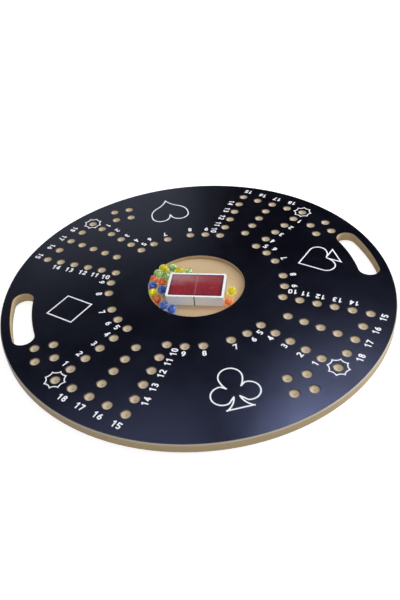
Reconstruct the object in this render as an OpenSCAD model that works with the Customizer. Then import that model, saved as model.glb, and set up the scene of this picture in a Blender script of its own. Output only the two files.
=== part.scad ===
// Round jackaroo board: a marble-and-card race game for four players.
// A disc of MDF with a black face carries milled sockets, a round well and two hand slots.
// The track numbers and suit outlines are printed on the face in white.
// A wrapped pack of cards and sixteen glass marbles lie loose in the well.
// Frame: origin under the middle of the board, +Z up, hand slots on the X axis,
// the club at -Y and the heart at +Y. Lengths are in millimetres, angles in degrees.

/* [Board] */
// Diameter of the board
board_d = 600; // [580:5:640]
// Thickness of the board with its black face
board_t = 16; // [14:0.5:20]
// Thickness of the black face alone
face_t = 0.8; // [0.3:0.1:1]
// Width of the bare bevel round the rim, above and below
rim_bevel = 1.5; // [0.5:0.5:2.5]

/* [Well] */
// Diameter of the round well in the middle
well_d = 150; // [146:1:170]
// Depth of the well below the black face
well_depth = 6; // [4.5:0.5:8]

/* [Hand slots] */
// Wood left between a hand slot and the rim
slot_margin = 15.5; // [12:0.5:20]
// Width of a hand slot, along the radius
slot_w = 31; // [26:1:34]
// Length of a hand slot from end to end
slot_l = 117; // [100:1:122]
// Width of the bevel on the slots' edges
slot_bevel = 1; // [0.5:0.25:1.5]

/* [Sockets] */
// Diameter of a socket's mouth in the wood
socket_d = 13.2; // [11:0.2:14]
// Depth of a socket's dish in the wood
socket_depth = 2.3; // [1.6:0.1:3]
// Distance from the rim to the outer row of an arm, along the arm
row_margin = 42.4; // [38:0.2:46]
// Distance between the sockets of the outer row
row_pitch = 29.65; // [27:0.05:31]
// Distance between the sockets of a column
socket_pitch = 25.75; // [24.5:0.05:26.5]
// Lean of the two columns towards the middle of the arm
column_lean = 11; // [9:0.5:12]
// Distance between the four sockets of a starting square
base_pitch = 26.7; // [24:0.1:28]
// Distance from the starting square's middle to the board's side axis
base_side = 84.2; // [80:0.2:88]
// Distance from the starting square's middle to the rim, square to that
base_margin = 63.2; // [60:0.2:66]

/* [White print] */
// Thickness of the print
ink_t = 0.2; // [0.1:0.05:0.3]
// Width of the lines of the suits
suit_pen = 2; // [1.6:0.1:2.8]
// Height of the suits
suit_h = 70; // [60:1:76]
// Width of the line round a start socket
star_pen = 1.6; // [1.2:0.1:2]
// Radius to the hollows of the line round a start socket
star_r = 12.2; // [11.5:0.1:13]
// Width of the lines of the numbers
digit_pen = 1.95; // [1.5:0.05:2.2]
// Height of the numbers
digit_h = 9.8; // [8.5:0.1:10.5]
// Width of one digit
digit_w = 6.2; // [5.6:0.1:6.6]
// Gap from a digit to the next
digit_gap = 1.2; // [0.8:0.1:1.6]
// Distance from the outer row to the numbers outside it
row_label = 18.9; // [18:0.1:21]
// Distance from a column to its single numbers
single_label = 13.3; // [12.6:0.1:15]
// Distance from a column to its double numbers
double_label = 15.4; // [15:0.1:17.5]
// Distance from the inner ring to the numbers outside it
ring_label = 15.2; // [14.6:0.1:16.5]

/* [Cards] */
// Length of a card
card_l = 88; // [84:1:90]
// Width of a card
card_w = 57; // [54:1:60]
// Thickness of a card
card_t = 0.3; // [0.26:0.01:0.32]
// Air between a card and the next
card_gap = 0.01; // [0.01:0.005:0.03]
// Number of cards in the pack
card_count = 54; // [48:1:56]
// Corner radius of a card
card_corner = 3.5; // [2.5:0.5:4.5]
// Width of the white border round the printed back
card_border = 3.6; // [3:0.1:5]
// Thickness of the print on the top card's back
back_print_t = 0.08; // [0.05:0.01:0.1]
// Thickness of the clear film round the pack
film_t = 0.12; // [0.08:0.01:0.2]
// Room between the cards and the film
film_gap = 0.06; // [0.04:0.01:0.1]
// Width of the tear strip round the pack's middle
strip_w = 1.6; // [1.2:0.1:3]
// Thickness of the tear strip
strip_t = 0.1; // [0.06:0.01:0.15]
// Turn of the pack in the well
pack_turn = -19.7; // [-22:0.1:-17]

/* [Marbles] */
// Diameter of a marble
marble_d = 14; // [13:0.25:14.5]
// Diameter of the coloured vanes inside a marble
vane_d = 9; // [8:0.25:11]
// Thickness of a vane
vane_t = 1.2; // [0.8:0.1:2]
// Number of vanes that cross in a marble
vane_count = 3; // [2:1:3]
// Least room beside a loose marble
loose_gap = 0.3; // [0.2:0.05:0.4]
// Room under a marble that lies on the well's floor
rest_gap = 0.1; // [0.05:0.05:0.2]

/* [Hidden] */
$fn = 72;
board_r = board_d / 2;
core_t = board_t - face_t;
face_r = board_r - rim_bevel;
well_r = well_d / 2;
floor_z = board_t - well_depth;
// A cut that ends in the air runs this far past the face it leaves
cut_past = 1;

// Hand slots: middle line, and half the angle between the middles of the round ends
slot_r = board_r - slot_margin - slot_w / 2;
slot_half_turn = asin((slot_l - slot_w) / 2 / slot_r);

// Sockets: the ball that mills the dish has this radius
socket_r = socket_d / 2;
ball_r = (socket_r * socket_r + socket_depth * socket_depth) / (2 * socket_depth);
ball_z = core_t - socket_depth + ball_r;
arm_turns = [-135, -45, 45, 135];
row_u = board_r - row_margin;
row_v = 2 * row_pitch;
column_count = 6;
ring_count = 2;
home_count = 4;
column_end = column_place(column_count - 1);
ring_r = norm(column_end);
ring_start = atan2(column_end.y, column_end.x);
ring_step = 2 * asin(socket_pitch / 2 / ring_r);
base_middle = [board_r - base_margin, base_side];

// Marks: how far inwards a column's numbers stand from their sockets, first to last, for the
// single and the double numbers
single_shift = [1.5, 0.4, 0.7, -1, -8.6];
double_shift = [0.8, -0.5, -1.2, -4.5, -10.9];
last_single_turn = 14.8;
last_double_turn = 17.5;
star_points = 8;
star_ball = 11;
star_reach = star_r + 4;
suit_scale = suit_h / 70;
// Width of the dot that joins two pen lines, as a share of theirs
joint = 0.7;
club_margin = 80;
heart_margin = 76.5;
spade_margin = 101;
diamond_margin = 103.7;
heart_aside = -1.6;
spade_aside = 2.4;
diamond_aside = 0.4;

// Pack of cards, from the strip under the film up to the strip over it
card_pitch = card_t + card_gap;
film_z = floor_z + strip_t;
cards_z = film_z + film_t + film_gap;
top_card_z = cards_z + (card_count - 1) * card_pitch;
back_print_z = top_card_z + card_t;
film_h = back_print_z + back_print_t + film_gap + film_t - film_z;
film_grow = film_gap + film_t;
pack_half_l = card_l / 2 + film_grow;
pack_ahead = dir(pack_turn);
pack_across = dir(pack_turn + 90);

// Marbles lie in rows in from the wall of the well, a marble apart or more
marble_r = marble_d / 2;
marble_pitch = marble_d + loose_gap;
marble_row = marble_pitch * 1.02;
marble_z = floor_z + rest_gap + marble_r;
wall_gap = sqrt(pow(marble_r + loose_gap, 2) - pow(marble_z - board_t, 2));
marble_wall_r = well_r - wall_gap;
// The pack lies beside the inner blue marble, and two marbles lie at its far end
pack_beside = 1.9;
pack_aside = 1.8;
pack_middle = marble_at(1, 0.07)
    + (pack_half_l + marble_r + pack_beside) * pack_ahead + pack_aside * pack_across;
end_marble_gap = 2.6;
end_yellow = pack_middle + (pack_half_l + marble_r + end_marble_gap) * pack_ahead;
end_u = pack_half_l + marble_r + loose_gap + 0.1;
end_orange = end_on_wall(pack_middle + end_u * pack_ahead);

yellow_places = [marble_at(0, 4.28), marble_at(1.70, 3.38), marble_at(0, -0.13), end_yellow];
green_places = [marble_at(0.72, 4.24), marble_at(2.41, 3.19), marble_at(0, 3.24), marble_at(1, 2.43)];
orange_places = [marble_at(0, 2.13), marble_at(1, 1.39), marble_at(0, -1.34), end_orange];
blue_places = [marble_at(0, 1.1), marble_at(1, 0.07), marble_at(0, -2.66), marble_at(0, -3.74)];

white = [0.93, 0.93, 0.97];
mdf = [0.76, 0.65, 0.48];
face_black = [0.08, 0.08, 0.13];
card_red = [0.62, 0.06, 0.12];
yellow = [0.86, 0.82, 0.12];
green = [0.36, 0.66, 0.34];
orange = [0.88, 0.42, 0.14];
blue = [0.15, 0.26, 0.72];
clear_glass = [0.86, 0.93, 0.9, 0.45];
clear_film = [0.92, 0.93, 0.95, 0.3];

function dir(a) = [cos(a), sin(a)];
// A point of the outline turned about the board's middle
function turned(p, a) = [p.x * cos(a) - p.y * sin(a), p.x * sin(a) + p.y * cos(a)];
// Place k of a column, counted inwards from the corner socket, beside the arm's axis
function column_place(k) = [row_u, row_v] - k * socket_pitch * dir(column_lean);
// Direction from the middle of a circle to where a line from p touches it
function touch(p, c, r) = atan2(p.y - c.y, p.x - c.x) - acos(r / norm(p - c));
// Place of a marble: rows in from the wall, then marbles along from the -X side
function marble_at(row, along) =
    let (r = marble_wall_r - row * marble_row)
    r * dir(180 - along * 2 * asin(marble_pitch / 2 / r));
// Where a line across the pack through p meets the marbles' wall ring, on the near side
function end_on_wall(p) =
    let (along = p * pack_ahead)
    along * pack_ahead - sqrt(marble_wall_r * marble_wall_r - along * along) * pack_across;

// Board

// Half the section of a hand slot: its wall, with a bevel at the wood's lower and upper edge
module slot_profile(half_w) {
    polygon([
        [0, -cut_past], [half_w + slot_bevel + cut_past, -cut_past], [half_w, slot_bevel],
        [half_w, core_t - slot_bevel], [half_w + slot_bevel, core_t],
        [half_w + slot_bevel, board_t + cut_past], [0, board_t + cut_past]
    ]);
}

module hand_slot() {
    rotate(-slot_half_turn) rotate_extrude(angle = 2 * slot_half_turn) translate([slot_r, 0]) {
        slot_profile(slot_w / 2);
        mirror([1, 0]) slot_profile(slot_w / 2);
    }
    for (turn = [0, 180])
        rotate(turn == 0 ? slot_half_turn : -slot_half_turn) translate([slot_r, 0])
            rotate(turn) rotate_extrude(angle = 180) slot_profile(slot_w / 2);
}

module hand_slots() {
    for (a = [0, 180])
        rotate(a) hand_slot();
}

module socket_at(p) {
    translate([p.x, p.y, ball_z]) sphere(ball_r);
}

module arm_sockets() {
    for (side = [-1, 1]) {
        for (k = [0:column_count - 1])
            socket_at([column_place(k).x, side * column_place(k).y]);
        for (k = [1:ring_count])
            socket_at(ring_r * dir(side * (ring_start + k * ring_step)));
        socket_at([row_u, side * row_pitch]);
    }
    socket_at([row_u, 0]);
    for (k = [1:home_count])
        socket_at([column_place(k).x, 0]);
}

// The starting square lies beside the star's end of the outer row, square to the board's axes
module base_sockets() {
    for (x = [-1, 1], y = [-1, 1])
        socket_at(base_middle + base_pitch / 2 * [x, y]);
}

module sockets() {
    for (a = arm_turns) {
        rotate(a) arm_sockets();
        rotate(a - 45) base_sockets();
    }
}

module well_cut() {
    translate([0, 0, floor_z]) cylinder(r = well_r, h = well_depth + cut_past);
}

module board_core() {
    color(mdf) difference() {
        rotate_extrude() polygon([
            [0, 0], [board_r - rim_bevel, 0], [board_r, rim_bevel],
            [board_r, core_t - rim_bevel], [face_r, core_t], [0, core_t]
        ]);
        well_cut();
        hand_slots();
        sockets();
    }
}

module black_face() {
    color(face_black) difference() {
        translate([0, 0, core_t]) cylinder(r = face_r, h = face_t);
        well_cut();
        hand_slots();
        sockets();
    }
}

// Pen lines of the white print

module printed() {
    translate([0, 0, board_t]) linear_extrude(ink_t) children();
}

// A straight line from p to q
module bar(p, q, pen) {
    d = q - p;
    translate(p) rotate(atan2(d.y, d.x)) translate([0, -pen / 2]) square([norm(d), pen]);
}

// The part of the plane between two directions, out to radius r
module sector(r, a0, a1) {
    steps = ceil((a1 - a0) / 45);
    step = (a1 - a0) / steps;
    polygon([[0, 0], for (i = [0:steps]) r / cos(step / 2) * dir(a0 + i * step)]);
}

// A line along a circle, from direction a0 up to a1
module arc(c, r, a0, a1, pen) {
    translate(c) intersection() {
        difference() {
            circle(r + pen / 2);
            circle(r - pen / 2);
        }
        sector(r + pen, a0, a1);
    }
}

module ring(c, r, pen) {
    translate(c) difference() {
        circle(r + pen / 2);
        circle(r - pen / 2);
    }
}

module dot(p, pen) {
    translate(p) circle(pen / 2);
}

// The sharp corner of two lines that leave p in directions a and b, with a less than b, each
// drawn as far as leg
module corner(p, a, b, leg, pen) {
    half = (b - a) / 2;
    peak = pen / 2 / sin(half) * dir((a + b) / 2);
    polygon([
        p - peak, p + leg * dir(a) + pen / 2 * dir(a - 90), p + leg * dir(a) - pen / 2 * dir(a - 90),
        p + peak, p + leg * dir(b) - pen / 2 * dir(b + 90), p + leg * dir(b) + pen / 2 * dir(b + 90)
    ]);
}

module both_sides() {
    children();
    mirror([1, 0]) children();
}

// Suits, each drawn with +Y towards the middle of the board

module club(s, pen) {
    top = [0, 18.5] * s;
    top_r = 16 * s;
    flank_r = 36 * s;
    flank = top + (top_r - flank_r) * dir(-8);
    neck = flank + flank_r * dir(-34.7);
    lobe = [17.6, -9.35] * s;
    lobe_r = 15.15 * s;
    stem = [31.3, -10.2] * s;
    stem_r = 27.7 * s;
    waist = stem + stem_r * dir(189.6);
    foot = [18.5, -33.9] * s;
    arc(top, top_r, -8, 188, pen);
    both_sides() {
        arc(flank, flank_r, -34.7, -8, pen);
        arc(lobe, lobe_r, -110, 95, pen);
        bar(lobe + lobe_r * dir(95), neck, pen);
        bar(lobe + lobe_r * dir(-110), waist, pen);
        arc(stem, stem_r, 189.6, 242.5, pen);
        dot(neck, pen);
        dot(waist, pen);
        for (p = [top + top_r * dir(-8), lobe + lobe_r * dir(95), lobe + lobe_r * dir(-110)])
            dot(p, pen * joint);
    }
    bar([-foot.x, foot.y], foot, pen);
}

module heart(s, pen) {
    lobe = [16.8, 16.9] * s;
    lobe_r = 15.9 * s;
    notch = [0, 15.5] * s;
    side_x = lobe.x + lobe_r;
    side_r = 28.4 * s;
    side = [side_x - side_r, 12.6 * s];
    cheek_r = 51 * s;
    cheek = side + (side_r + cheek_r) * dir(-58);
    // The cheek's arc ends a little above the tip, and a straight line goes on to it
    cheek_turn = 177 - acos(cheek.x / cheek_r);
    chin = cheek + cheek_r * dir(cheek_turn);
    tip = chin - chin.x / dir(cheek_turn + 90).x * dir(cheek_turn + 90);
    tip_turn = atan2(chin.y - tip.y, chin.x);
    both_sides() {
        bar(notch, lobe + lobe_r * dir(165), pen);
        arc(lobe, lobe_r, 0, 165, pen);
        bar([side_x, side.y], [side_x, lobe.y], pen);
        arc(side, side_r, -58, 0, pen);
        arc(cheek, cheek_r, 122, cheek_turn, pen);
        for (p = [lobe + lobe_r * dir(165), [side_x, lobe.y], [side_x, side.y], side + side_r * dir(-58)])
            dot(p, pen * joint);
        dot(chin, pen * joint);
    }
    dot(notch, pen);
    corner(tip, tip_turn, 180 - tip_turn, norm(chin - tip), pen);
}

module spade(s, pen) {
    tip = [0, 31.5] * s;
    lobe = [17.6, -7.3] * s;
    lobe_r = 14.2 * s;
    lobe_turn = touch(tip, lobe, lobe_r);
    shoulder = lobe + lobe_r * dir(lobe_turn);
    hip_r = 24 * s;
    hip = lobe + [0, hip_r - lobe_r];
    waist = hip + hip_r * dir(-133);
    foot = [17.2, -32.2] * s;
    stem_turn = atan2(waist.y - foot.y, waist.x - foot.x);
    both_sides() {
        arc(lobe, lobe_r, -90, lobe_turn, pen);
        arc(hip, hip_r, -133, -90, pen);
        bar(waist, foot, pen);
        dot(waist, pen);
        for (p = [shoulder, lobe - [0, lobe_r]])
            dot(p, pen * joint);
        corner(foot, stem_turn, 180, pen / tan(90 - stem_turn / 2), pen);
    }
    bar([-foot.x, foot.y], foot, pen);
    corner(tip, -90 - lobe_turn, lobe_turn - 90, norm(shoulder - tip), pen);
}

// A lozenge whose sides lie grow outside the one through its corners
module lozenge(half_w, half_h, grow) {
    k = 1 + grow * norm([half_w, half_h]) / (half_w * half_h);
    polygon(k * [[half_w, 0], [0, half_h], [-half_w, 0], [0, -half_h]]);
}

module diamond(s, pen) {
    difference() {
        lozenge(31.2 * s, 33.4 * s, pen / 2);
        lozenge(31.2 * s, 33.4 * s, -pen / 2);
    }
}

module club_outline() {
    color(white) printed() translate([0, club_margin - board_r]) club(suit_scale, suit_pen);
}

module heart_outline() {
    color(white) printed()
        translate([heart_aside, board_r - heart_margin]) rotate(180) heart(suit_scale, suit_pen);
}

module spade_outline() {
    color(white) printed()
        translate([board_r - spade_margin, spade_aside]) rotate(90) spade(suit_scale, suit_pen);
}

module diamond_outline() {
    color(white) printed()
        translate([diamond_margin - board_r, diamond_aside]) rotate(-90) diamond(suit_scale, suit_pen);
}

// Stars round the start sockets: round hollows between sharp points

module star_shape(grow) {
    difference() {
        circle(star_reach + grow);
        for (k = [0:star_points - 1])
            rotate(k * 360 / star_points) translate([star_r + star_ball, 0]) circle(star_ball - grow);
    }
}

module start_star(arm) {
    color(white) printed() rotate(arm_turns[arm])
        translate([row_u, -row_v]) rotate(180 - column_lean) difference() {
            star_shape(star_pen / 2);
            star_shape(-star_pen / 2);
        }
}

// Digits, drawn from the middle of their foot line

// An upright shape with round ends
module stadium(low, high, r) {
    translate(low) circle(r);
    translate(high) circle(r);
    translate([-r, low.y]) square([2 * r, high.y - low.y]);
}

module digit(n) {
    pen = digit_pen;
    foot = pen / 2;
    head = digit_h - pen / 2;
    half = (digit_w - pen) / 2;
    edge = digit_w / 2;
    upper_r = half * 0.88;
    lower_r = (head - foot) / 2 - upper_r;
    low = [0, foot + half];
    high = [0, head - half];
    if (n == 0) difference() {
        stadium(low, high, edge);
        stadium(low, high, edge - pen);
    }
    if (n == 1) {
        stem = pen * 0.1;
        bar([stem, 0], [stem, digit_h], pen);
        bar([stem - 2.8, digit_h - 2.8], [stem, digit_h - 1.1], pen * 0.95);
    }
    if (n == 2) {
        turn = high + half * dir(-35);
        arc(high, half, -35, 168, pen);
        bar(turn, [-half, foot], pen);
        dot(turn, pen);
        bar([-edge, foot], [edge, foot], pen);
    }
    if (n == 3) {
        arc([0, head - upper_r], upper_r, -90, 155, pen);
        arc([0, foot + lower_r], lower_r, -155, 90, pen);
        bar([-pen * 0.5, foot + 2 * lower_r], [0, foot + 2 * lower_r], pen);
    }
    if (n == 4) {
        bar([-half, digit_h * 0.3], [1.2, digit_h - 0.6], pen);
        bar([-edge, digit_h * 0.3], [edge, digit_h * 0.3], pen);
        bar([1.2, 0], [1.2, digit_h], pen);
    }
    if (n == 5) {
        bar([-half, head], [edge - 0.2, head], pen);
        bar([-half - 0.2, head * 0.52], [-half + 0.2, head + pen / 2], pen);
        arc(low, half, -150, 125, pen);
    }
    if (n == 6) six();
    if (n == 7) {
        bar([-edge, head], [edge, head], pen);
        bar([half - 0.1, head], [-half * 0.45, 0], pen);
    }
    if (n == 8) {
        ring([0, head - upper_r], upper_r, pen);
        ring([0, foot + lower_r], lower_r, pen);
    }
    if (n == 9) translate([0, digit_h]) rotate(180) six();
}

// A bowl with a tail that leaves it at its left and bends over to the right
module six() {
    pen = digit_pen;
    half = (digit_w - pen) / 2;
    low = [0, pen / 2 + half];
    tail_r = half * 2.75;
    ring(low, half, pen);
    arc(low + [tail_r - half, 0], tail_r, 112, 180, pen);
}

// A number centred on the origin, read along +X
module number(n) {
    advance = digit_w + digit_gap;
    if (n < 10) translate([0, -digit_h / 2]) digit(n);
    else {
        translate([-advance / 2, -digit_h / 2]) digit(floor(n / 10));
        translate([advance / 2, -digit_h / 2]) digit(n % 10);
    }
}

// In the arm's own frame +X points outwards, so a number that reads from outside is turned by 90
module arm_numbers() {
    // Outside the outer row: 15 to 18
    for (k = [0:3])
        translate([row_u + row_label, row_v - k * row_pitch]) rotate(90) number(15 + k);
    for (k = [1:column_count - 1]) {
        along = dir(column_lean);
        aside = dir(column_lean + 90);
        // Beside the double column: 14 to 10, read inwards
        double = column_place(k) - double_shift[k - 1] * along + double_label * aside;
        double_turn = k < column_count - 1 ? column_lean : last_double_turn;
        translate(double) rotate(180 + double_turn) number(15 - k);
        // Beside the single column: 1 to 5, read with their heads inwards
        single = column_place(k) - single_shift[k - 1] * along + single_label * aside;
        single_turn = k < column_count - 1 ? column_lean : last_single_turn;
        translate([single.x, -single.y]) rotate(90 - single_turn) number(k);
    }
    // Outside the inner ring: 9 and 8, then 6 and 7, with their heads to the middle
    for (k = [1:ring_count], side = [-1, 1]) {
        turn = side * (ring_start + k * ring_step);
        translate((ring_r + ring_label) * dir(turn)) rotate(turn + 90) number(side > 0 ? 10 - k : 5 + k);
    }
}

module numbers(arm) {
    color(white) printed() rotate(arm_turns[arm]) arm_numbers();
}

// Pack of cards

module in_pack() {
    translate([pack_middle.x, pack_middle.y]) rotate(pack_turn) children();
}

module rounded_plate(l, w, corner_r, z, h) {
    translate([0, 0, z]) linear_extrude(h) union() {
        square([l - 2 * corner_r, w], center = true);
        square([l, w - 2 * corner_r], center = true);
        for (x = [-1, 1], y = [-1, 1])
            translate([x * (l / 2 - corner_r), y * (w / 2 - corner_r)]) circle(corner_r);
    }
}

module pack_cards() {
    color(white) in_pack()
        for (k = [0:card_count - 2])
            rounded_plate(card_l, card_w, card_corner, cards_z + k * card_pitch, card_t);
}

module pack_top_card() {
    color(white) in_pack() rounded_plate(card_l, card_w, card_corner, top_card_z, card_t);
}

module pack_back_print() {
    color(card_red) in_pack() rounded_plate(card_l - 2 * card_border, card_w - 2 * card_border,
        card_corner - 2, back_print_z, back_print_t);
}

module pack_film() {
    color(clear_film) in_pack() difference() {
        rounded_plate(card_l + 2 * film_grow, card_w + 2 * film_grow, card_corner + film_grow,
            film_z, film_h);
        rounded_plate(card_l + 2 * film_gap, card_w + 2 * film_gap, card_corner + film_gap,
            film_z + film_t, film_h - 2 * film_t);
    }
}

module pack_tear_strip() {
    inside_w = card_w + 2 * film_grow;
    color(clear_film) in_pack() difference() {
        translate([-strip_w / 2, -inside_w / 2 - strip_t, floor_z])
            cube([strip_w, inside_w + 2 * strip_t, film_h + 2 * strip_t]);
        translate([-strip_w / 2 - cut_past, -inside_w / 2, film_z])
            cube([strip_w + 2 * cut_past, inside_w, film_h]);
    }
}

// Marbles

// Crossed flat vanes with a round rim; the ball's poles are kept clear of them
module vanes() {
    intersection() {
        rotate([90, 0, 15]) sphere(vane_d / 2);
        for (k = [0:vane_count - 1])
            rotate(k * 180 / vane_count) cube([vane_d + 2, vane_t, vane_d + 2], center = true);
    }
}

// Every marble came to rest turned its own way
module rolled(place, k) {
    translate([place.x, place.y, marble_z]) rotate([35 + 50 * k, 20 * k, 70 * k]) children();
}

module marble(place, k) {
    color(clear_glass) difference() {
        translate([place.x, place.y, marble_z]) sphere(marble_r);
        rolled(place, k) vanes();
    }
}

module vane(place, k, tint) {
    color(tint) rolled(place, k) vanes();
}

board_core();
black_face();
club_outline();
heart_outline();
spade_outline();
diamond_outline();
start_star(0);  // start_star_front_left
start_star(1);  // start_star_front_right
start_star(2);  // start_star_back_right
start_star(3);  // start_star_back_left
numbers(0);  // numbers_front_left
numbers(1);  // numbers_front_right
numbers(2);  // numbers_back_right
numbers(3);  // numbers_back_left
pack_cards();
pack_top_card();
pack_back_print();
pack_film();
pack_tear_strip();
marble(yellow_places[0], 1);  // marble_yellow_1
marble(yellow_places[1], 2);  // marble_yellow_2
marble(yellow_places[2], 3);  // marble_yellow_3
marble(yellow_places[3], 4);  // marble_yellow_4
marble(green_places[0], 5);  // marble_green_1
marble(green_places[1], 6);  // marble_green_2
marble(green_places[2], 7);  // marble_green_3
marble(green_places[3], 8);  // marble_green_4
marble(orange_places[0], 9);  // marble_orange_1
marble(orange_places[1], 10);  // marble_orange_2
marble(orange_places[2], 11);  // marble_orange_3
marble(orange_places[3], 12);  // marble_orange_4
marble(blue_places[0], 13);  // marble_blue_1
marble(blue_places[1], 14);  // marble_blue_2
marble(blue_places[2], 15);  // marble_blue_3
marble(blue_places[3], 16);  // marble_blue_4
vane(yellow_places[0], 1, yellow);  // vane_yellow_1
vane(yellow_places[1], 2, yellow);  // vane_yellow_2
vane(yellow_places[2], 3, yellow);  // vane_yellow_3
vane(yellow_places[3], 4, yellow);  // vane_yellow_4
vane(green_places[0], 5, green);  // vane_green_1
vane(green_places[1], 6, green);  // vane_green_2
vane(green_places[2], 7, green);  // vane_green_3
vane(green_places[3], 8, green);  // vane_green_4
vane(orange_places[0], 9, orange);  // vane_orange_1
vane(orange_places[1], 10, orange);  // vane_orange_2
vane(orange_places[2], 11, orange);  // vane_orange_3
vane(orange_places[3], 12, orange);  // vane_orange_4
vane(blue_places[0], 13, blue);  // vane_blue_1
vane(blue_places[1], 14, blue);  // vane_blue_2
vane(blue_places[2], 15, blue);  // vane_blue_3
vane(blue_places[3], 16, blue);  // vane_blue_4
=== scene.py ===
"""A round jackaroo board with its card pack and sixteen marbles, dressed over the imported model."""

import math
import random

import bmesh
import bpy
from mathutils import Matrix, Vector, noise


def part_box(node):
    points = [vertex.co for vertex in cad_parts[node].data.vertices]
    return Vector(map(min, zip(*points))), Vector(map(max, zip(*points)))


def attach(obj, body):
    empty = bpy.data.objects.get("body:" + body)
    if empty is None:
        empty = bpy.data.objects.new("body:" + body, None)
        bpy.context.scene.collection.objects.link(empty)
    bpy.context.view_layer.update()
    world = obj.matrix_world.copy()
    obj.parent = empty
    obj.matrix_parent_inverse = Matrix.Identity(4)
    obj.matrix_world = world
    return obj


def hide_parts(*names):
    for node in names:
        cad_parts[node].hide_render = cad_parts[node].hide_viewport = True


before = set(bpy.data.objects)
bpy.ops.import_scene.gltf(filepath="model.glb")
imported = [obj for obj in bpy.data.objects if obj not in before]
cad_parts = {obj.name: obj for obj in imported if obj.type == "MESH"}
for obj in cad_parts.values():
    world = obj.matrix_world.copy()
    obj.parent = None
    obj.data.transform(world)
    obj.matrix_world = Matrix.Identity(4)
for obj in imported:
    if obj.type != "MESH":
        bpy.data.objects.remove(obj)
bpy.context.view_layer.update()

# The photographer's stand: the camera stands in front, a little left, and looks down at 40 degrees.
# The place, the turn and the lens come from a fit of the photograph to the rim and the sockets.
board_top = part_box("black_face")[1].z
camera_data = bpy.data.cameras.new("photo_camera")
camera_data.sensor_width = 36
camera_data.lens = 36.708
camera = bpy.data.objects.new("photo_camera", camera_data)
bpy.context.collection.objects.link(camera)
camera_place = (-0.12, -0.7277, 0.5947 + board_top)
heading, look_down, tilt = -9.643, 40.396, -4.992
camera.matrix_world = (
    Matrix.Translation(camera_place)
    @ Matrix.Rotation(math.radians(heading), 4, "Z")
    @ Matrix.Rotation(math.radians(90 - look_down), 4, "X")
    @ Matrix.Rotation(math.radians(tilt), 4, "Z")
)
bpy.context.scene.camera = camera
bpy.context.scene.view_settings.view_transform = "Standard"

# The studio: soft boxes under the ceiling behind the board give the blue sheen that the black face
# mirrors. One low at the right lights the left wall of every socket, the key stands higher at the
# right, and two fills stand in front.


def soft_box(name, place, aim, size, power, tint=(1, 1, 1)):
    lamp = bpy.data.lights.new(name, "AREA")
    lamp.shape = "RECTANGLE"
    lamp.size, lamp.size_y = size
    lamp.energy = power
    lamp.color = tint
    stand = bpy.data.objects.new(name, lamp)
    bpy.context.collection.objects.link(stand)
    away = Vector(place) - Vector(aim)
    stand.matrix_world = Matrix.Translation(place) @ away.to_track_quat("Z", "Y").to_matrix().to_4x4()


cool_white = (0.92, 0.94, 1.0)
soft_box("corner_soft_box", (0.55, 0.85, 1.8), (0.55, 0.85, 0), (0.25, 0.3), 5.4, cool_white)
soft_box("back_soft_box", (0.92, 1.15, 1.8), (0.92, 1.15, 0), (0.5, 0.3), 3.0, cool_white)
soft_box("ceiling_panel", (-0.45, 0.95, 1.8), (-0.45, 0.95, 0), (1.2, 0.65), 5.4, cool_white)
soft_box("left_panel", (-0.8, 2.7, 1.8), (-0.8, 2.7, 0), (0.6, 1.2), 0.8, cool_white)
soft_box("far_panel", (-0.02, 3.4, 1.8), (-0.02, 0.3, 0), (1.3, 1.0), 2.8, (0.9, 0.94, 1.0))
soft_box("side_soft_box", (2.0, 0.12, 0.8), (0, 0, 0), (1.4, 1.0), 40)
soft_box("key_soft_box", (1.45, -0.25, 1.5), (0, 0, 0), (1.0, 1.0), 7)
soft_box("front_fill", (0.1, -2.2, 1.6), (0, 0, 0), (1.8, 1.2), 18)
soft_box("left_fill", (-1.3, -1.5, 1.2), (0, 0, 0), (1.0, 1.0), 7)

# The air of the studio: it lights all sides softly, the eye and the glass see the white backdrop,
# and a polished face sees that backdrop low down and the unlit room above it.
world = bpy.data.worlds.new("studio_air")
bpy.context.scene.world = world
world.use_nodes = True
air = world.node_tree
air.nodes.clear()


def air_node(kind, wires=(), **inputs):
    made = air.nodes.new("ShaderNode" + kind)
    for source, socket in wires:
        air.links.new(source, made.inputs[socket])
    for socket, value in inputs.items():
        made.inputs[socket].default_value = value
    return made


path = air_node("LightPath").outputs
soft_light = air_node("Background", Color=(0.9, 0.93, 1.0, 1), Strength=0.2)
white_sheet = air_node("Background", Color=(1, 1, 1, 1), Strength=1.0)
dim_room = air_node("Background", Color=(0.9, 0.93, 1.0, 1), Strength=0.012)
rise = air_node("SeparateXYZ", [(air_node("TexCoord").outputs["Generated"], "Vector")]).outputs["Z"]
above = air_node("MapRange", [(rise, "Value")]).outputs[0]
backdrop_ends, room_begins = 0.12, 0.35
above.node.inputs["From Min"].default_value = backdrop_ends
above.node.inputs["From Max"].default_value = room_begins
mirrored = air_node("MixShader", [(above, 0), (white_sheet.outputs[0], 1), (dim_room.outputs[0], 2)])


def by_ray(kind, others, those):
    """One look for rays of that kind, and another for all others."""
    return air_node("MixShader", [(path[kind], 0), (others.outputs[0], 1), (those.outputs[0], 2)])


by_gloss = by_ray("Is Glossy Ray", soft_light, mirrored)
by_glass = by_ray("Is Transmission Ray", by_gloss, white_sheet)
by_eye = by_ray("Is Camera Ray", by_glass, white_sheet)
air_node("OutputWorld", [(by_eye.outputs[0], "Surface")])


# The table top: plain, matt and pale, so wide that no edge shows. The eye, a polished face and glass
# see it nearly as white as the backdrop, and the board's own soft shadow stays on it.


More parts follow.
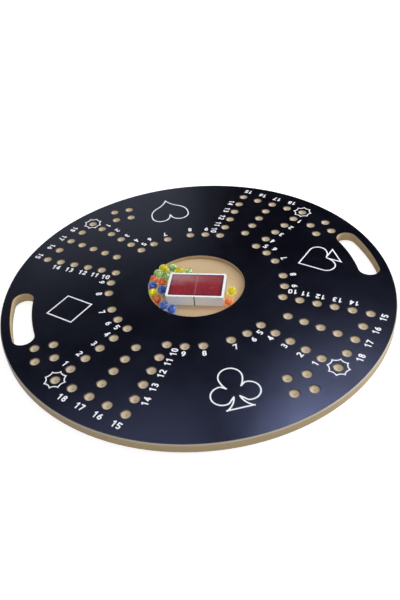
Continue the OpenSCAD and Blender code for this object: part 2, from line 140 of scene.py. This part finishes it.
class Finish:
    """A procedural material, built node by node round one principled shader."""

    def __init__(self, name, **sockets):
        self.material = bpy.data.materials.new(name)
        self.material.use_nodes = True
        self.tree = self.material.node_tree
        self.tree.nodes.clear()
        self.out = self.tree.nodes.new("ShaderNodeOutputMaterial")
        self.shader = self.tree.nodes.new("ShaderNodeBsdfPrincipled")
        self.tree.links.new(self.shader.outputs[0], self.out.inputs["Surface"])
        for socket, value in sockets.items():
            self.shader.inputs[socket.replace("_", " ")].default_value = value
        self.place = self.tree.nodes.new("ShaderNodeTexCoord").outputs["Object"]

    def node(self, kind, *wires, **settings):
        made = self.tree.nodes.new("ShaderNode" + kind)
        for key, value in settings.items():
            if key in made.bl_rna.properties:
                setattr(made, key, value)
            else:
                made.inputs[key.replace("_", " ")].default_value = value
        for source, socket in wires:
            self.tree.links.new(source, made.inputs[socket])
        return made

    def math(self, operation, a, b=0.0, clamp=False):
        made = self.tree.nodes.new("ShaderNodeMath")
        made.operation = operation
        made.use_clamp = clamp
        for socket, value in zip(made.inputs, (a, b)):
            if isinstance(value, (int, float)):
                socket.default_value = value
            else:
                self.tree.links.new(value, socket)
        return made.outputs[0]

    def stretch(self, scale):
        return self.node("Mapping", (self.place, "Vector"), Scale=scale).outputs[0]

    def how_high(self):
        return self.node("SeparateXYZ", (self.place, "Vector")).outputs["Z"]

    def how_level(self):
        """1 where the surface faces straight up, 0 on an upright wall."""
        normal = self.node("NewGeometry").outputs["True Normal"]
        return self.node("SeparateXYZ", (normal, "Vector")).outputs["Z"]

    def grain(self, scale, detail=4.0, roughness=0.55, distortion=0.0, place=None):
        made = self.node("TexNoise", (place or self.place, "Vector"), Scale=scale, Detail=detail,
                         Roughness=roughness, Distortion=distortion)
        return made.outputs["Fac"]

    def ease(self, value, low, high, at_low=0.0, at_high=1.0):
        made = self.node("MapRange", (value, "Value"), interpolation_type="SMOOTHSTEP",
                         From_Min=low, From_Max=high, To_Min=at_low, To_Max=at_high)
        return made.outputs[0]

    def blend(self, share, a, b):
        made = self.tree.nodes.new("ShaderNodeMix")
        made.data_type = "RGBA"
        for socket, value in ((made.inputs[0], share), (made.inputs[6], a), (made.inputs[7], b)):
            if isinstance(value, bpy.types.NodeSocket):
                self.tree.links.new(value, socket)
            elif isinstance(value, tuple):
                socket.default_value = (*value, 1.0)
            else:
                socket.default_value = value
        return made.outputs[2]

    def feed(self, source, socket):
        self.tree.links.new(source, self.shader.inputs[socket])

    def relief(self, height, depth, strength=1.0, after=None):
        made = self.node("Bump", (height, "Height"), Strength=strength, Distance=depth)
        if after is not None:
            self.tree.links.new(after, made.inputs["Normal"])
        self.feed(made.outputs[0], "Normal")
        return made.outputs[0]

    def dress(self, *nodes):
        for name in nodes:
            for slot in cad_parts[name].material_slots:
                slot.material = self.material


table_top = Finish("table_top_white", Base_Color=(0.55, 0.55, 0.55, 1), Roughness=0.9)
table_glow = table_top.node("Emission")
# Far out the lamps fade, so there the glow makes up for them
from_board = table_top.node("VectorMath", (table_top.place, 0), operation="LENGTH").outputs["Value"]
near, far_out = 0.6, 3.2
glow = table_top.ease(from_board, near, far_out, 0.72, 0.97)
table_top.tree.links.new(glow, table_glow.inputs["Strength"])
no_glow = table_top.node("Emission", Strength=0.0)
seen_by = table_top.node("LightPath").outputs
seen = table_top.math("ADD", seen_by["Is Camera Ray"], seen_by["Is Glossy Ray"])
seen = table_top.math("ADD", seen, seen_by["Is Transmission Ray"], clamp=True)
glow_when_seen = table_top.node(
    "MixShader", (seen, "Fac"), (no_glow.outputs[0], 1), (table_glow.outputs[0], 2))
both = table_top.node("AddShader", (table_top.shader.outputs[0], 0), (glow_when_seen.outputs[0], 1))
table_top.tree.links.new(both.outputs[0], table_top.out.inputs["Surface"])
table_mesh = bpy.data.meshes.new("table_top")
reach = 9
table_corners = [(-reach, -reach, 0), (reach, -reach, 0), (reach, reach, 0), (-reach, reach, 0)]
table_mesh.from_pydata(table_corners, [], [(0, 1, 2, 3)])
table_mesh.materials.append(table_top.material)
table = bpy.data.objects.new("table_top", table_mesh)
bpy.context.collection.objects.link(table)

# The board core: one disc of bare MDF, sawn round and milled from above with a ball cutter for the
# sockets and a flat one for the well. Its faces are pressed denser and browner than its heart.
MM = 0.001
core_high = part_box("board_core")[1]
mdf = Finish("bare_mdf", Roughness=0.86, Specular_IOR_Level=0.25, Sheen_Weight=0.3,
             Sheen_Roughness=0.3, Sheen_Tint=(0.86, 0.94, 1.0, 1))
fibre = mdf.grain(1500, detail=7, roughness=0.68, distortion=0.5)
clump = mdf.grain(190, detail=4, roughness=0.6)
drift = mdf.grain(11, detail=2)
height = mdf.how_high()
facing = mdf.how_level()
pale, tan, brown = (0.66, 0.48, 0.29), (0.53, 0.37, 0.205), (0.30, 0.19, 0.10)
wood = mdf.blend(mdf.ease(fibre, 0.32, 0.68), tan, pale)
wood = mdf.blend(mdf.ease(clump, 0.35, 0.7, 0.0, 0.28), wood, tan)
wood = mdf.blend(mdf.ease(drift, 0.3, 0.7, 0.0, 0.22), wood, (0.60, 0.42, 0.26))
# Single dark fibres, scattered
fleck = mdf.node("TexVoronoi", (mdf.stretch((1, 1, 2.4)), "Vector"), Scale=640, Randomness=1.0)
wood = mdf.blend(mdf.ease(fleck.outputs["Distance"], 0.05, 0.2, 0.55, 0.0), wood, brown)
# The layers show on the sawn edge, and the outer two millimetres are denser
upright = mdf.ease(facing, 0.25, 0.6, 1.0, 0.0)
layer = mdf.grain(1.0, detail=3, place=mdf.stretch((14, 14, 1900)))
layer_shade = mdf.math("MULTIPLY", mdf.ease(layer, 0.35, 0.65, 0.0, 0.3), upright)
wood = mdf.blend(layer_shade, wood, brown)
all_dense, not_dense = 0.9 * MM, 2.4 * MM
near_top = mdf.ease(height, core_high.z - not_dense, core_high.z - all_dense)
near_foot = mdf.ease(height, all_dense, not_dense, 1.0, 0.0)
dense = mdf.math("MULTIPLY", mdf.math("MAXIMUM", near_top, near_foot), upright)
wood = mdf.blend(mdf.math("MULTIPLY", dense, 0.12), wood, brown)
# The cutter leaves pale fuzz in the dishes, and the sawn wall greys with dust and handling
dish_depth = 2.3 * MM
dish_low = core_high.z - dish_depth
above_well = mdf.ease(height, dish_low - 0.6 * MM, dish_low - 0.3 * MM)
dish = mdf.math("MULTIPLY", above_well, mdf.ease(facing, 0.6, 0.8))
wood = mdf.blend(mdf.math("MULTIPLY", dish, 0.75), wood, (0.52, 0.47, 0.35))
wood = mdf.blend(mdf.math("MULTIPLY", upright, 0.45), wood, (0.39, 0.335, 0.18))
# The ball cutter turns slowest at its tip, which burns a brown spot in the middle of each dish. The
# lip of the dish shows the dense top layer of the board
tip = mdf.math("MULTIPLY", dish, mdf.ease(height, dish_low + 0.04 * MM, dish_low + 0.26 * MM, 1.0, 0.0))
under_face = mdf.ease(height, core_high.z - 0.75 * MM, core_high.z - 0.35 * MM)
lip = mdf.math("MULTIPLY", under_face, mdf.ease(facing, 0.6, 0.7))
wood = mdf.blend(mdf.math("MULTIPLY", tip, 0.6), wood, (0.42, 0.23, 0.09))
wood = mdf.blend(mdf.math("MULTIPLY", lip, 0.8), wood, (0.24, 0.15, 0.06))
# The eased upper edge is painted paler than the sawn wall under it: a painted highlight where the bevel
# catches the light
out_from_middle = mdf.node("VectorMath", (mdf.stretch((1, 1, 0)), 0), operation="LENGTH").outputs["Value"]
painted_bevel_highlight = mdf.math("MULTIPLY", mdf.ease(out_from_middle, core_high.x - 1.6 * MM, core_high.x - 1.2 * MM),
                    mdf.ease(facing, 0.4, 0.6))
wood = mdf.blend(mdf.math("MULTIPLY", painted_bevel_highlight, 0.8), wood, (0.50, 0.48, 0.45))
# A brown line runs round the foot of the well's wall: partly where the flat cutter rubbed it brown, partly
# painted shade in that corner
well_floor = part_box("pack_tear_strip")[0].z
well_r = 75 * MM
by_wall = mdf.math("MULTIPLY", mdf.ease(out_from_middle, well_r - 1.6 * MM, well_r - 0.3 * MM),
                   mdf.ease(out_from_middle, well_r + 0.5 * MM, well_r + 1 * MM, 1.0, 0.0))
low_down = mdf.ease(height, well_floor + 0.5 * MM, well_floor + 1.6 * MM, 1.0, 0.0)
foot_burn_and_shade = mdf.math("MULTIPLY", by_wall, low_down)
wood = mdf.blend(mdf.math("MULTIPLY", foot_burn_and_shade, 0.55), wood, brown)
mdf.feed(wood, "Base Color")
mdf.feed(mdf.ease(clump, 0.3, 0.7, 0.78, 0.92), "Roughness")
# Rings of the well's cutter, then the fuzz of the fibres
ring = mdf.node("TexWave", (mdf.place, "Vector"), wave_type="RINGS", rings_direction="Z",
                Scale=42.0, Distortion=0.6, Detail=1.0)
in_well = mdf.math("MULTIPLY", mdf.ease(facing, 0.9, 0.99),
                   mdf.ease(height, well_floor + 0.6 * MM, well_floor + 0.9 * MM, 1.0, 0.0))
rings = mdf.relief(mdf.math("MULTIPLY", ring.outputs["Fac"], in_well), 0.05 * MM, 0.6)
mdf.relief(fibre, 0.12 * MM, 0.7, after=rings)
mdf.dress("board_core")

# The black face: a satin melamine sheet, glued to the MDF before milling, so every cut goes
# through it and shows its edge. It is hard, slightly grained, and holds a few fine rubs.
melamine = Finish("black_melamine", Roughness=0.23, Specular_IOR_Level=0.5,
                  Specular_Tint=(0.46, 0.54, 1.0, 1))
skin = melamine.grain(2600, detail=3, roughness=0.6)
cloud = melamine.grain(26, detail=3)
rub = melamine.grain(1.0, detail=4, roughness=0.7, place=melamine.stretch((40, 700, 40)))
black = melamine.blend(melamine.ease(cloud, 0.3, 0.7), (0.0006, 0.0006, 0.0024), (0.0012, 0.0012, 0.0038))
# Its paper core is brown, and shows wherever a cutter went through
cut = melamine.ease(melamine.how_level(), 0.9, 0.99, 1.0, 0.0)
melamine.feed(melamine.blend(cut, black, (0.045, 0.024, 0.014)), "Base Color")
sheen = melamine.ease(cloud, 0.3, 0.7, 0.21, 0.25)
sheen = melamine.math("ADD", sheen, melamine.ease(rub, 0.62, 0.8, 0.0, 0.07))
melamine.feed(sheen, "Roughness")
melamine.relief(skin, 0.02 * MM, 0.35)
melamine.dress("black_face")

# The white print: thick screen ink for the four suits, the lines round the start sockets and the
# numbers of the track. It lies a hair above the face and is a little uneven and chalky.
ink = Finish("white_screen_ink", Roughness=0.6, Specular_IOR_Level=0.3)
pores = ink.grain(3200, detail=3, roughness=0.7)
patch = ink.grain(240, detail=3)
chalk = ink.blend(ink.ease(patch, 0.3, 0.7), (0.88, 0.88, 0.92), (0.94, 0.94, 0.96))
chalk = ink.blend(ink.ease(pores, 0.68, 0.8, 0.0, 0.5), chalk, (0.45, 0.45, 0.5))
ink.feed(chalk, "Base Color")
ink.feed(ink.ease(patch, 0.3, 0.7, 0.5, 0.66), "Roughness")
ink.relief(pores, 0.03 * MM, 0.5)
corners = ("front_left", "front_right", "back_right", "back_left")
ink.dress(*(suit + "_outline" for suit in ("club", "heart", "spade", "diamond")),
          *("start_star_" + corner for corner in corners), *("numbers_" + corner for corner in corners))

# The cards: a bridge-size pack of fifty-four, seen from its edges as thin pale layers. The stock is
# coated paper, whiter on the faces than on the cut edges.
cards_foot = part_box("pack_cards")[0].z
cards_under_top = 53
card_pitch = (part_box("pack_top_card")[0].z - cards_foot) / cards_under_top
card_stock = Finish("card_stock", Roughness=0.55, Specular_IOR_Level=0.35)
from_foot = card_stock.math("SUBTRACT", card_stock.how_high(), cards_foot)
level = card_stock.math("DIVIDE", from_foot, card_pitch)
which = card_stock.math("FLOOR", level)
lot = card_stock.node("TexWhiteNoise", (which, "W"), noise_dimensions="1D").outputs["Value"]
edge = card_stock.blend(lot, (0.80, 0.79, 0.80), (0.94, 0.93, 0.94))
dust = card_stock.grain(900, detail=4)
edge = card_stock.blend(card_stock.ease(dust, 0.45, 0.75, 0.0, 0.25), edge, (0.6, 0.58, 0.59))
in_card = card_stock.math("FRACT", level)
gap_shade = card_stock.math("MAXIMUM", card_stock.ease(in_card, 0.0, 0.16, 0.3, 0.0),
                            card_stock.ease(in_card, 0.8, 0.96, 0.0, 0.3))
edge = card_stock.blend(gap_shade, edge, (0.34, 0.33, 0.35))
card_up = card_stock.ease(card_stock.how_level(), 0.5, 0.9)
card_stock.feed(card_stock.blend(card_up, edge, (0.95, 0.94, 0.95)), "Base Color")
card_stock.relief(dust, 0.03 * MM, 0.4)
card_stock.dress("pack_cards", "pack_top_card")

# The print on the top card's back: red ink with a darker frame. A fine lattice of lines and a few
# darker streaks run over the whole of it.
print_low, print_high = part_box("pack_back_print")
pack_turn = math.radians(-19.7)
pack_middle = (print_low + print_high) / 2
back_ink = Finish("red_card_back", Roughness=0.42, Specular_IOR_Level=0.4)


def on_pack(finish):
    """The place on the pack: how far along its length, and how far across it."""
    turned = finish.node("Mapping", (finish.place, "Vector"), vector_type="TEXTURE",
                         Location=pack_middle, Rotation=(0, 0, pack_turn))
    parts = finish.node("SeparateXYZ", (turned.outputs[0], "Vector")).outputs
    return parts["X"], parts["Y"]


def lattice_lines(finish, a, b, pitch, share):
    """Thin slanting lines, a pitch apart in a plus b, each about that share of the pitch wide."""
    turn = finish.math("FRACT", finish.math("DIVIDE", finish.math("ADD", a, b), pitch))
    off = finish.math("ABSOLUTE", finish.math("SUBTRACT", turn, 0.5))
    return finish.ease(off, share * 0.5, share, 1.0, 0.0)


along, across = on_pack(back_ink)
other = back_ink.math("MULTIPLY", across, -1.0)
line_pitch, line_share = 2.6 * MM, 0.16
lines = back_ink.math("MAXIMUM", lattice_lines(back_ink, along, across, line_pitch, line_share),
                      lattice_lines(back_ink, along, other, line_pitch, line_share))
print_half_l, print_half_w = 40.4 * MM, 24.9 * MM
to_end = back_ink.math("SUBTRACT", print_half_l, back_ink.math("ABSOLUTE", along))
to_side = back_ink.math("SUBTRACT", print_half_w, back_ink.math("ABSOLUTE", across))
from_edge = back_ink.math("MINIMUM", to_end, to_side)
rim_line = back_ink.ease(from_edge, 2.6 * MM, 3.8 * MM, 1.0, 0.0)
red = back_ink.blend(back_ink.math("MULTIPLY", lines, 0.3), (0.34, 0.004, 0.017), (0.22, 0.003, 0.013))
shade = back_ink.grain(1.0, detail=3, distortion=0.6, place=back_ink.stretch((120, 40, 40)))
red = back_ink.blend(back_ink.ease(shade, 0.4, 0.7, 0.0, 0.45), red, (0.13, 0.003, 0.010))
red = back_ink.blend(back_ink.math("MULTIPLY", rim_line, 0.8), red, (0.07, 0.005, 0.016))
back_ink.feed(red, "Base Color")
back_ink.relief(back_ink.grain(1800, detail=3), 0.02 * MM, 0.3)
back_ink.dress("pack_back_print")

# The wrap: clear film shrunk tight over the pack, folded in like an envelope at both short ends.
# It is glossy and thin, follows the cards all round, and puckers where the heat drew it in.
film_low, film_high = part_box("pack_film")
film_foot, film_top = film_low.z, film_high.z
film_half_l, film_half_w, film_corner = 44.18 * MM, 28.68 * MM, 3.68 * MM
wrap = Finish("clear_film", Base_Color=(0.92, 0.94, 0.97, 1), Roughness=0.1)
pucker = wrap.grain(30, detail=2, roughness=0.5)
crease = wrap.grain(1.0, detail=3, roughness=0.6, distortion=1.2, place=wrap.stretch((240, 240, 90)))
swell = wrap.relief(pucker, 1.4 * MM, 1.0)
wrap.relief(crease, 0.12 * MM, 0.6, after=swell)
# Where it stands off the top card, outside the red print and over the far left part of it, the film is a
# pale veil, not a mirror: a painted reflection
end_way, side_way = on_pack(wrap)
streak = wrap.math("MULTIPLY", wrap.grain(85, detail=3, distortion=0.8), 22 * MM)
far_part = wrap.ease(wrap.math("ADD", side_way, streak), 6 * MM, 26 * MM)
far_left_reflection = wrap.math("MULTIPLY", far_part, wrap.ease(end_way, -34 * MM, 36 * MM, 1.0, 0.3))
past_end = wrap.ease(wrap.math("ABSOLUTE", end_way), print_half_l, print_half_l + 1 * MM)
past_side = wrap.ease(wrap.math("ABSOLUTE", side_way), print_half_w, print_half_w + 1 * MM)
# Painted reflection: here the film turns from mirror to a pale diffuse veil
painted_reflection = wrap.math("MAXIMUM", far_left_reflection, wrap.math("MAXIMUM", past_end, past_side))
painted_reflection = wrap.math("MULTIPLY", painted_reflection, wrap.ease(wrap.how_level(), 0.7, 0.95))
wrap.feed(wrap.math("SUBTRACT", 1.0, painted_reflection), "Metallic")
slant = wrap.node("LayerWeight", Blend=0.5).outputs["Facing"]
mirror_share = wrap.math("MULTIPLY", wrap.math("POWER", slant, 4.0), 0.8)
film_share = wrap.math("ADD", mirror_share, wrap.math("MULTIPLY", painted_reflection, 0.08))
wrap.feed(wrap.math("ADD", film_share, 0.07, clamp=True), "Alpha")


def pack_point(x, y, z):
    """A point of the pack's own frame, turned into the board's."""
    return Vector((pack_middle.x + x * math.cos(pack_turn) - y * math.sin(pack_turn),
                   pack_middle.y + x * math.sin(pack_turn) + y * math.cos(pack_turn), z))


def round_corners(half_l, half_w, corner, steps):
    """The outline of a card, anticlockwise from where its +X end meets a rounded corner."""
    points = []
    for quarter, (sx, sy) in enumerate(((1, 1), (-1, 1), (-1, -1), (1, -1))):
        middle = Vector((sx * (half_l - corner), sy * (half_w - corner)))
        for step in range(steps + 1):
            turn = math.radians(90 * (quarter + step / steps))
            points.append(middle + corner * Vector((math.cos(turn), math.sin(turn))))
    dense_points = []
    for here, there in zip(points, points[1:] + points[:1]):
        pieces = max(1, round((there - here).length / (1.5 * MM)))
        dense_points += [here.lerp(there, k / pieces) for k in range(pieces)]
    return dense_points


def film_shell():
    """One closed skin: rings from the underside, up the sides and over the top, and two flat caps."""
    shell = bmesh.new()
    outline = round_corners(film_half_l, film_half_w, film_corner, 6)
    insets = (12 * MM, 4 * MM, 1.2 * MM)
    soft, drop = 0.35 * MM, 0.05 * MM
    rise, side_rings = film_top - film_foot, 12
    profile = [(inset, film_foot) for inset in insets]
    profile += [(soft, film_foot + drop), (0, film_foot + soft)]
    profile += [(0, film_foot + rise * k / side_rings) for k in range(1, side_rings)]
    profile += [(0, film_top - soft), (soft, film_top - drop)]
    profile += [(inset, film_top) for inset in reversed(insets)]
    spine, end_part = film_half_l - 14 * MM, 4 * MM
    loops = []
    for inset, z in profile:
        loop = []
        for point in outline:
            middle = Vector((math.copysign(min(abs(point.x), spine), point.x), 0))
            toward = (middle - point).normalized()
            flat_point = point + toward * inset
            wave = noise.noise(Vector((point.x * 90, point.y * 90, z * 60)))
            at_end = max(0.0, (abs(point.x) - film_half_l + end_part) / end_part)
            out = (0.05 + 0.12 * at_end) * MM * wave if inset == 0 else 0
            flat_point -= toward * out
            loop.append(shell.verts.new(pack_point(flat_point.x, flat_point.y, z)))
        loops.append(loop)
    for low, high in zip(loops, loops[1:]):
        for k in range(len(low)):
            n = (k + 1) % len(low)
            shell.faces.new((low[k], low[n], high[n], high[k]))
    shell.faces.new(list(reversed(loops[0])))
    shell.faces.new(loops[-1])
    return shell


def close_sheets(mesh_in, back, front):
    """Makes one closed skin of two like grids of points, its back and its front."""
    rows, columns = len(front) - 1, len(front[0]) - 1
    for a in range(rows):
        for b in range(columns):
            mesh_in.faces.new((front[a][b], front[a][b + 1], front[a + 1][b + 1], front[a + 1][b]))
            mesh_in.faces.new((back[a][b], back[a + 1][b], back[a + 1][b + 1], back[a][b + 1]))
    border = ([(0, b) for b in range(columns)] + [(a, columns) for a in range(rows)]
              + [(rows, b) for b in range(columns, 0, -1)] + [(a, 0) for a in range(rows, 0, -1)])
    for (a, b), (c, d) in zip(border, border[1:] + border[:1]):
        mesh_in.faces.new((back[a][b], back[c][d], front[c][d], front[a][b]))


def end_fold(shell, side, top):
    """One flap of a folded end: nearly as wide as the pack at its edge, narrower where it overlaps."""
    far = side * (film_half_l + 0.06 * MM)
    out = side * MM * (0.10 if top else 0.20)
    if top:
        edge_z, meet_z = film_top - 0.6 * MM, film_foot + 7.2 * MM
    else:
        edge_z, meet_z = film_foot + 0.6 * MM, film_foot + 9.6 * MM
    rows, columns, fold_skin = 8, 22, 0.04 * MM
    grid = []
    for row in range(rows + 1):
        down = row / rows
        z = edge_z + (meet_z - edge_z) * down
        half = (film_half_w - 2.2 * MM) - 7.5 * MM * down
        grid.append([])
        for column in range(columns + 1):
            y = half * (2 * column / columns - 1)
            ripple = 0.05 * MM * noise.noise(Vector((y * 260, z * 200, side * 3.1 + top)))
            grid[-1].append((far + out + side * ripple, y, z))
    sheets = []
    for layer in (0, 1):
        off = side * fold_skin * layer
        sheets.append([[shell.verts.new(pack_point(x + off, y, z)) for x, y, z in line] for line in grid])
    close_sheets(shell, *sheets)


def piece_from(mesh_in, name, finish, body, slot, *replaced):
    bmesh.ops.recalc_face_normals(mesh_in, faces=mesh_in.faces)
    for face in mesh_in.faces:
        face.smooth = True
    mesh = bpy.data.meshes.new(name)
    mesh_in.to_mesh(mesh)
    mesh_in.free()
    mesh.materials.append(finish.material)
    piece = bpy.data.objects.new(name, mesh)
    bpy.context.collection.objects.link(piece)
    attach(piece, body)
    if replaced:
        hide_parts(*replaced)


piece_from(film_shell(), "shrink_film", wrap, "card_pack", "film", "pack_film")
for side in (-1, 1):
    for top in (0, 1):
        flap = bmesh.new()
        end_fold(flap, side, top)
        piece_from(flap, "film_fold_%s_%s" % ("left" if side < 0 else "right", "top" if top else "foot"),
                   wrap, "card_pack", "film")

# The tear strip: a narrow clear tape glued round the middle of the film. Flat on the red back it is
# a painted pink sheen, and down the sides its doubled film is a thin grey line of painted shadow.
tape = Finish("tear_tape", Roughness=0.22)
tape_wear = tape.grain(700, detail=3)
on_top = tape.ease(tape.math("ABSOLUTE", tape.how_level()), 0.4, 0.8)
# Painted light: a pink painted sheen on top, a grey painted shadow down the sides
tape.feed(tape.blend(on_top, (0.16, 0.17, 0.15), (0.95, 0.62, 0.66)), "Base Color")
thin = tape.math("MULTIPLY", on_top, tape.ease(tape_wear, 0.35, 0.65, 0.46, 0.55))
tape.feed(tape.math("SUBTRACT", 0.62, thin), "Alpha")
tape.dress("pack_tear_strip")

# The marbles: clear glass balls with crossed vanes of coloured glass folded in while hot. Each has
# rolled to its own side, and a used ball has a very slight waviness and a few tiny pits.


def ball_glass(colour, tint):
    """Clear glass with a breath of colour; a lamp shines through it, so the vanes inside are lit."""
    glass = Finish("glass_" + colour, Base_Color=(*tint, 1), Roughness=0.015, IOR=1.5,
                   Transmission_Weight=1.0)
    glass.relief(glass.grain(420, detail=2), 0.02 * MM, 0.25)
    lamp_path = glass.node("LightPath").outputs["Is Shadow Ray"]
    let_through = glass.node("BsdfTransparent", Color=(*tint, 1))
    by_path = glass.node(
        "MixShader", (lamp_path, "Fac"), (glass.shader.outputs[0], 1), (let_through.outputs[0], 2))
    glass.tree.links.new(by_path.outputs[0], glass.out.inputs["Surface"])
    return glass


def vane_glass(colour, deep, light):
    """Opaque coloured glass, drawn out in streaks while it was hot."""
    vane = Finish("vane_" + colour, Roughness=0.3, Specular_IOR_Level=0.3)
    streak = vane.grain(1.0, detail=3, roughness=0.6, distortion=0.8, place=vane.stretch((380, 380, 150)))
    vane.feed(vane.blend(vane.ease(streak, 0.35, 0.65), deep, light), "Base Color")
    vane.relief(streak, 0.15 * MM, 0.5)
    return vane


# The glass of the ball, then the deep and the light streaks of its vanes
marble_colours = {
    "yellow": ((0.92, 0.89, 0.30), (0.44, 0.38, 0.0), (0.60, 0.58, 0.02)),
    "green": ((0.72, 0.90, 0.66), (0.16, 0.28, 0.10), (0.44, 0.50, 0.28)),
    "orange": ((0.95, 0.60, 0.38), (0.46, 0.07, 0.015), (0.58, 0.30, 0.12)),
    "blue": ((0.50, 0.66, 0.96), (0.010, 0.026, 0.25), (0.15, 0.23, 0.43)),
}


def glass_ball(middle, radius, seed):
    """A fine sphere, out of round by a hundredth of a millimetre, with a few small pits."""
    ball = bmesh.new()
    bmesh.ops.create_icosphere(ball, subdivisions=5, radius=radius)
    luck = random.Random(seed)
    uneven, pit_depth, pit_width = 0.012 * MM, 0.03 * MM, 0.05
    pits = [Vector((luck.gauss(0, 1), luck.gauss(0, 1), luck.gauss(0, 1))).normalized() for _ in range(5)]
    for vert in ball.verts:
        way = vert.co.normalized()
        dent = uneven * noise.noise(way * 1.7 + Vector((seed, 0, 0)))
        for pit in pits:
            dent -= pit_depth * math.exp(-((way - pit).length / pit_width) ** 2)
        vert.co = middle + way * (radius - uneven + dent)
    return ball


def vane_leaves(middle, radius, seed):
    """Three crossed leaves, twisted along the ball's axis and curled like a pinwheel."""
    leaves = bmesh.new()
    luck = random.Random(seed + 100)
    full_turn = 6.28
    roll = Matrix.Rotation(luck.uniform(0, full_turn), 3, "Z")
    roll = roll @ Matrix.Rotation(luck.uniform(0.5, 2.6), 3, "X")
    roll = roll @ Matrix.Rotation(luck.uniform(0, full_turn), 3, "Z")
    wide, long, leaf_count = 14, 14, 3
    between, twist, curl = 60, 32, 26
    half_thick, blunting, length_share = 0.8 * MM, 0.985, 0.96
    for leaf in range(leaf_count):
        sheets = []
        for side in (-1, 1):
            sheet = []
            for a in range(long + 1):
                s = -1 + 2 * a / long
                width = radius * math.sqrt(max(0.0, 1 - (blunting * s) ** 2))
                sheet.append([])
                for b in range(wide + 1):
                    r = -1 + 2 * b / wide
                    turn = math.radians(between * leaf + twist * s + curl * abs(r))
                    thick = half_thick * (1 - 0.75 * r * r) * (1 - 0.5 * s * s)
                    out = r * width
                    flat = Vector((out * math.cos(turn), out * math.sin(turn), length_share * radius * s))
                    flat += side * thick * Vector((-math.sin(turn), math.cos(turn), 0))
                    sheet[-1].append(leaves.verts.new(middle + roll @ flat))
            sheets.append(sheet)
        close_sheets(leaves, *sheets)
    return leaves


ball_radius, leaf_radius = 7 * MM, 4.4 * MM
for group, (colour, (tint, deep, light)) in enumerate(marble_colours.items()):
    clear, coloured = ball_glass(colour, tint), vane_glass(colour, deep, light)
    for number in range(1, 5):
        node_name = "marble_%s_%d" % (colour, number)
        low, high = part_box(node_name)
        middle = (low + high) / 2
        body = "%s_marble_%d" % (colour, number)
        seed = 10 * group + number
        piece_from(glass_ball(middle, ball_radius, seed), "glass_ball_%s_%d" % (colour, number), clear, body,
                   "glass", node_name)
        piece_from(vane_leaves(middle, leaf_radius, seed), "vane_leaves_%s_%d" % (colour, number),
                   coloured, body, "glass_" + colour, "vane_%s_%d" % (colour, number))
